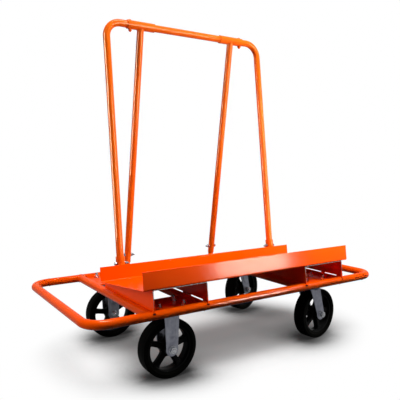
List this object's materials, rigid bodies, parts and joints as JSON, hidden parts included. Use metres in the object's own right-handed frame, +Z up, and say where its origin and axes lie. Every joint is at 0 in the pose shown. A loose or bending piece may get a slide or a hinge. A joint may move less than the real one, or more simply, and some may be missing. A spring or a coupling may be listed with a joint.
{
  "type": "drywall cart",
  "caption": "Panel cart with a tube base on spoked casters, a tilted load deck with a front lip, and a leaning braced tube backrest that unbolts for transport.",
  "frame": {"origin": "on the floor under the middle of the base", "axes": "+X along the cart towards the swivel casters, +Y from the load side to the back, +Z up"},
  "size_m": [1.3, 0.664, 1.294],
  "materials": {
    "tube_paint": "gloss",
    "sheet_paint": "gloss",
    "fork_zinc": "satin",
    "hardware_zinc": "bright",
    "core_black": "satin",
    "tyre_rubber": "matte"
  },
  "bodies": {
    "cart_frame": {"front_rail": "tube_paint", "rear_rail": "tube_paint", "left_end_loop": "tube_paint", "right_end_loop": "tube_paint", "cross_tube_left_outer": "tube_paint", "cross_tube_left_inner": "tube_paint", "cross_tube_right_inner": "tube_paint", "cross_tube_right_outer": "tube_paint", "caster_pad_front_left": "sheet_paint", "caster_pad_rear_left": "sheet_paint", "caster_pad_front_right": "sheet_paint", "caster_pad_rear_right": "sheet_paint", "wedge_channel_left": "sheet_paint", "wedge_channel_right": "sheet_paint", "deck_tray": "sheet_paint", "upright_socket_left": "tube_paint", "upright_socket_right": "tube_paint", "brace_spigot_left": "tube_paint", "brace_spigot_right": "tube_paint", "upright_left": "tube_paint", "upright_right": "tube_paint", "top_bar": "tube_paint", "tee_sleeve_left": "tube_paint", "tee_sleeve_right": "tube_paint", "brace_left": "tube_paint", "brace_right": "tube_paint", "upright_bolts": "hardware_zinc", "brace_bolts": "hardware_zinc", "sleeve_bolts": "hardware_zinc", "backrest_nuts": "hardware_zinc", "caster_bolts": "hardware_zinc", "caster_nuts": "hardware_zinc", "rigid_fork_front_left": "fork_zinc", "rigid_fork_rear_left": "fork_zinc", "rigid_axle_bolts": "hardware_zinc", "rigid_axle_nuts": "hardware_zinc", "rigid_axle_bushes": "hardware_zinc", "swivel_plate_front_right": "fork_zinc", "swivel_plate_rear_right": "fork_zinc", "kingpin_front_right": "hardware_zinc", "kingpin_rear_right": "hardware_zinc", "swivel_balls_front_right": "hardware_zinc", "swivel_balls_rear_right": "hardware_zinc"},
    "wheel_front_left": {"wheel_core_front_left": "core_black", "tyre_front_left": "tyre_rubber"},
    "swivel_front_right": {"swivel_fork_front_right": "fork_zinc", "axle_bolt_front_right": "hardware_zinc", "axle_nut_front_right": "hardware_zinc", "axle_bush_front_right": "hardware_zinc"},
    "wheel_front_right": {"wheel_core_front_right": "core_black", "tyre_front_right": "tyre_rubber"},
    "wheel_rear_left": {"wheel_core_rear_left": "core_black", "tyre_rear_left": "tyre_rubber"},
    "swivel_rear_right": {"swivel_fork_rear_right": "fork_zinc", "axle_bolt_rear_right": "hardware_zinc", "axle_nut_rear_right": "hardware_zinc", "axle_bush_rear_right": "hardware_zinc"},
    "wheel_rear_right": {"wheel_core_rear_right": "core_black", "tyre_rear_right": "tyre_rubber"}
  },
  "joints": [
    {"name": "wheel_front_left_spin", "type": "hinge", "parent": "cart_frame", "child": "wheel_front_left", "pos_m": [-0.333, -0.242, 0.1015], "axis": [0, 1, 0], "continuous": true},
    {"name": "swivel_front_right_turn", "type": "hinge", "parent": "cart_frame", "child": "swivel_front_right", "pos_m": [0.333, -0.242, 0.241], "axis": [0, 0, 1], "continuous": true},
    {"name": "wheel_front_right_spin", "type": "hinge", "parent": "swivel_front_right", "child": "wheel_front_right", "pos_m": [0.37079, -0.23803, 0.1015], "axis": [-0.1045, 0.9945, 0], "continuous": true},
    {"name": "wheel_rear_left_spin", "type": "hinge", "parent": "cart_frame", "child": "wheel_rear_left", "pos_m": [-0.333, 0.242, 0.1015], "axis": [0, 1, 0], "continuous": true},
    {"name": "swivel_rear_right_turn", "type": "hinge", "parent": "cart_frame", "child": "swivel_rear_right", "pos_m": [0.333, 0.242, 0.241], "axis": [0, 0, 1], "continuous": true},
    {"name": "wheel_rear_right_spin", "type": "hinge", "parent": "swivel_rear_right", "child": "wheel_rear_right", "pos_m": [0.36979, 0.25151, 0.1015], "axis": [-0.2504, 0.9681, 0], "continuous": true}
  ]
}
